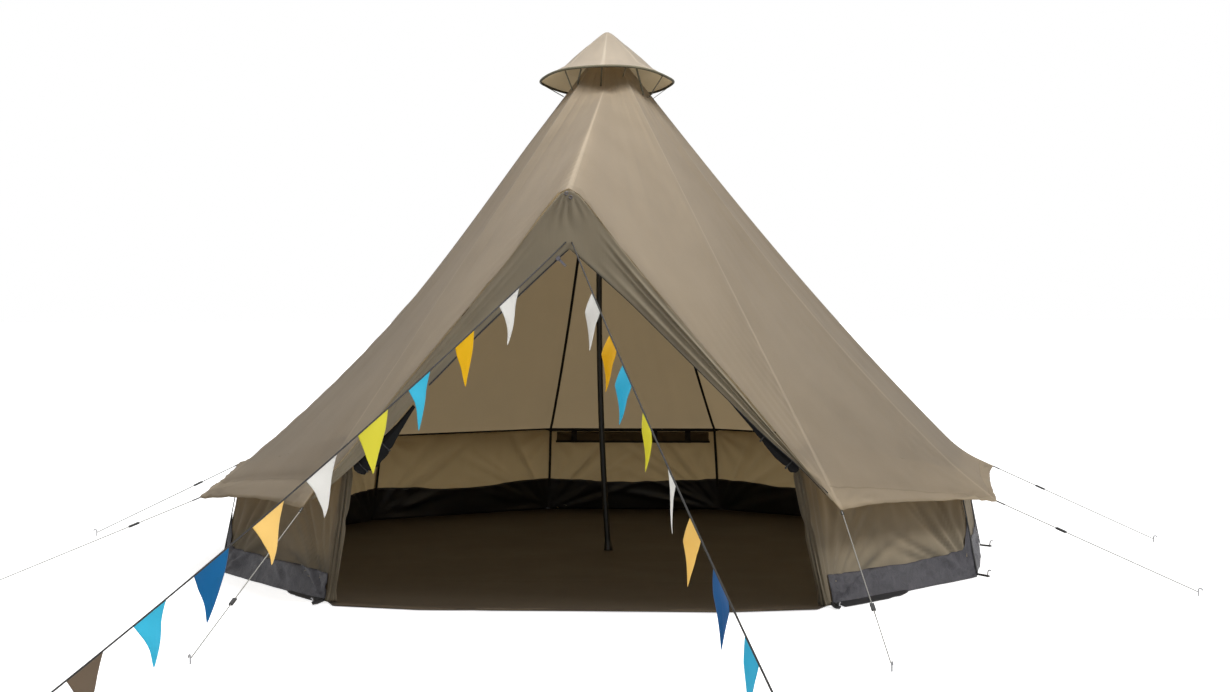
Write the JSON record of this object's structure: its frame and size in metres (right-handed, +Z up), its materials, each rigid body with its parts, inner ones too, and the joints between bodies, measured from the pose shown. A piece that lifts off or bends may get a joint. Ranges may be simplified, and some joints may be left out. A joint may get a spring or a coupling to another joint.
{
  "type": "pyramid tent",
  "caption": "Many-sided pyramid tent on a centre pole, with a hooded front door, low upright walls, a tilted vent cap, guy lines and two front lines of plain pennants.",
  "frame": {"origin": "on the ground at the foot of the centre pole, which is also the middle of the tent's bounding box without its guy lines", "axes": "+Z up, the door faces -Y, and +X is on the right of someone who looks at the door"},
  "size_m": [5.4788, 7.9819, 2.535],
  "materials": {
    "roof_cloth": "plain-woven coated polyester, matt, taupe",
    "wall_cloth": "plain-woven coated polyester, matt, darker taupe",
    "sheet_cloth": "coated polyester groundsheet, very dark brown",
    "rim_cloth": "coated polyester, black",
    "mesh_cloth": "rolled insect mesh, black",
    "binding_tape": "stiffened binding tape, dark olive",
    "black_steel": "powder-coated steel tube, black",
    "black_plastic": "moulded plastic, black",
    "peg_steel": "dark steel wire",
    "guy_cord": "thin cord, light grey",
    "dark_cord": "thin cord, dark",
    "zip_metal": "die-cast slider, grey"
  },
  "bodies": {
    "tent": {"roof_panel_front_left": "roof_cloth", "wall_panel_front_left": "wall_cloth", "roof_panel_middle_left": "roof_cloth", "wall_panel_middle_left": "wall_cloth", "roof_panel_aft_left": "roof_cloth", "wall_panel_aft_left": "wall_cloth", "roof_panel_back_left": "roof_cloth", "wall_panel_back_left": "wall_cloth", "hood_panel_left": "roof_cloth", "hood_face_left": "roof_cloth", "door_roll_left": "wall_cloth", "mesh_roll_left": "mesh_cloth", "pennant_line_left": "dark_cord", "pennant_peg_left": "peg_steel", "guy_line_front_left": "guy_cord", "guy_peg_front_left": "peg_steel", "guy_line_side_front_left": "guy_cord", "guy_peg_side_front_left": "peg_steel", "guy_line_side_middle_left": "guy_cord", "guy_peg_side_middle_left": "peg_steel", "roof_panel_front_right": "roof_cloth", "wall_panel_front_right": "wall_cloth", "roof_panel_middle_right": "roof_cloth", "wall_panel_middle_right": "wall_cloth", "roof_panel_aft_right": "roof_cloth", "wall_panel_aft_right": "wall_cloth", "roof_panel_back_right": "roof_cloth", "wall_panel_back_right": "wall_cloth", "hood_panel_right": "roof_cloth", "hood_face_right": "roof_cloth", "door_roll_right": "wall_cloth", "mesh_roll_right": "mesh_cloth", "pennant_line_right": "dark_cord", "pennant_peg_right": "peg_steel", "guy_line_front_right": "guy_cord", "guy_peg_front_right": "peg_steel", "guy_line_side_front_right": "guy_cord", "guy_peg_side_front_right": "peg_steel", "guy_line_side_middle_right": "guy_cord", "guy_peg_side_middle_right": "peg_steel", "roof_panel_rear": "roof_cloth", "wall_panel_rear": "wall_cloth", "groundsheet_floor": "sheet_cloth", "groundsheet_rim": "rim_cloth", "pole_foot": "black_plastic", "pole_section_lower": "black_steel", "pole_section_middle": "black_steel", "pole_section_upper": "black_steel", "pole_top_spike": "black_plastic", "crown_patch": "binding_tape", "vent_cap": "roof_cloth", "cap_binding": "binding_tape"},
    "runner_front_left": {"guy_runner_front_left": "black_plastic"},
    "runner_side_front_left": {"guy_runner_side_front_left": "black_plastic"},
    "runner_side_middle_left": {"guy_runner_side_middle_left": "black_plastic"},
    "runner_front_right": {"guy_runner_front_right": "black_plastic"},
    "runner_side_front_right": {"guy_runner_side_front_right": "black_plastic"},
    "runner_side_middle_right": {"guy_runner_side_middle_right": "black_plastic"},
    "slider": {"zip_slider": "zip_metal"},
    "pull": {"zip_pull": "zip_metal"}
  },
  "joints": [
    {"name": "runner_slide_front_left", "type": "slide", "parent": "tent", "child": "runner_front_left", "axis": [-0.098, -0.9455, -0.3105], "range_m": [-0.6, 0.36]},
    {"name": "runner_slide_side_front_left", "type": "slide", "parent": "tent", "child": "runner_side_front_left", "axis": [-0.7859, -0.5239, -0.3285], "range_m": [-0.25, 0.58]},
    {"name": "runner_slide_side_middle_left", "type": "slide", "parent": "tent", "child": "runner_side_middle_left", "axis": [-0.8734, 0.2682, -0.4066], "range_m": [-0.2, 0.6]},
    {"name": "runner_slide_front_right", "type": "slide", "parent": "tent", "child": "runner_front_right", "axis": [0.098, -0.9455, -0.3105], "range_m": [-0.6, 0.36]},
    {"name": "runner_slide_side_front_right", "type": "slide", "parent": "tent", "child": "runner_side_front_right", "axis": [0.7859, -0.5239, -0.3285], "range_m": [-0.25, 0.58]},
    {"name": "runner_slide_side_middle_right", "type": "slide", "parent": "tent", "child": "runner_side_middle_right", "axis": [0.8734, 0.2682, -0.4066], "range_m": [-0.2, 0.6]},
    {"name": "zip_slide", "type": "slide", "parent": "tent", "child": "slider", "axis": [-0.7195, 0, -0.6945], "range_m": [0, 0.68]},
    {"name": "zip_pull_hinge", "type": "hinge", "parent": "slider", "child": "pull", "pos_m": [-0.03602, -2.048, 1.39392], "axis": [-0.7195, 0, -0.6945], "range_deg": [-70, 70]}
  ]
}
